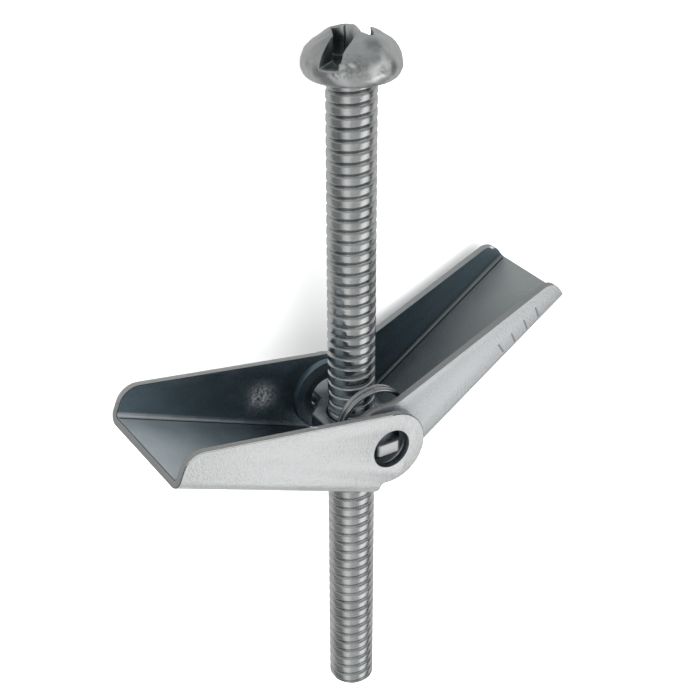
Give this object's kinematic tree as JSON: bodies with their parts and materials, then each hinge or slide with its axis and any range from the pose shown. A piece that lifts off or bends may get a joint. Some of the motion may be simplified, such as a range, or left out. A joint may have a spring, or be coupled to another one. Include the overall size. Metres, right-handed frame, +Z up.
{
  "type": "spring toggle bolt",
  "caption": "Round-head machine screw with a trunnion nut and two spring-opened channel wings that fold along the shank.",
  "frame": {"origin": "centre of the underside of the screw's head, with the bolt lying on the flange edge side of its wider wing", "axes": "+Y up the screw through the head, +Z up from the floor along the wings' pivot, +X towards the inner wing"},
  "size_m": [0.0318, 0.0526, 0.01],
  "materials": {
    "screw_zinc": "bright zinc plate, glossy on the thread and satin on the head",
    "nut_zinc": "bluish zinc plate, satin, with sheared edges",
    "sheet_zinc": "clear zinc plate on pressed sheet, satin with fine speckle",
    "spring_wire": "drawn spring wire, thin zinc plate"
  },
  "bodies": {
    "nut": {"trunnion_nut": "nut_zinc", "torsion_spring": "spring_wire"},
    "screw": {"machine_screw": "screw_zinc"},
    "outer_wing": {"outer_wing": "sheet_zinc"},
    "inner_wing": {"inner_wing": "sheet_zinc"}
  },
  "joints": [
    {"name": "screw_travel", "type": "slide", "parent": "nut", "child": "screw", "axis": [0, 1, 0], "range_m": [-0.008, 0.02]},
    {"name": "outer_wing_fold", "type": "hinge", "parent": "nut", "child": "outer_wing", "pos_m": [0, -0.0255, 0], "axis": [0, 0, -1], "range_deg": [0, 68], "stiffness_Nm_per_rad": 0.006, "springref_deg": -34.38, "deforming": ["torsion_spring"]},
    {"name": "inner_wing_fold", "type": "hinge", "parent": "nut", "child": "inner_wing", "pos_m": [0, -0.0255, 0], "axis": [0, 0, 1], "range_deg": [0, 55], "stiffness_Nm_per_rad": 0.006, "springref_deg": -34.38, "deforming": ["torsion_spring"]}
  ]
}
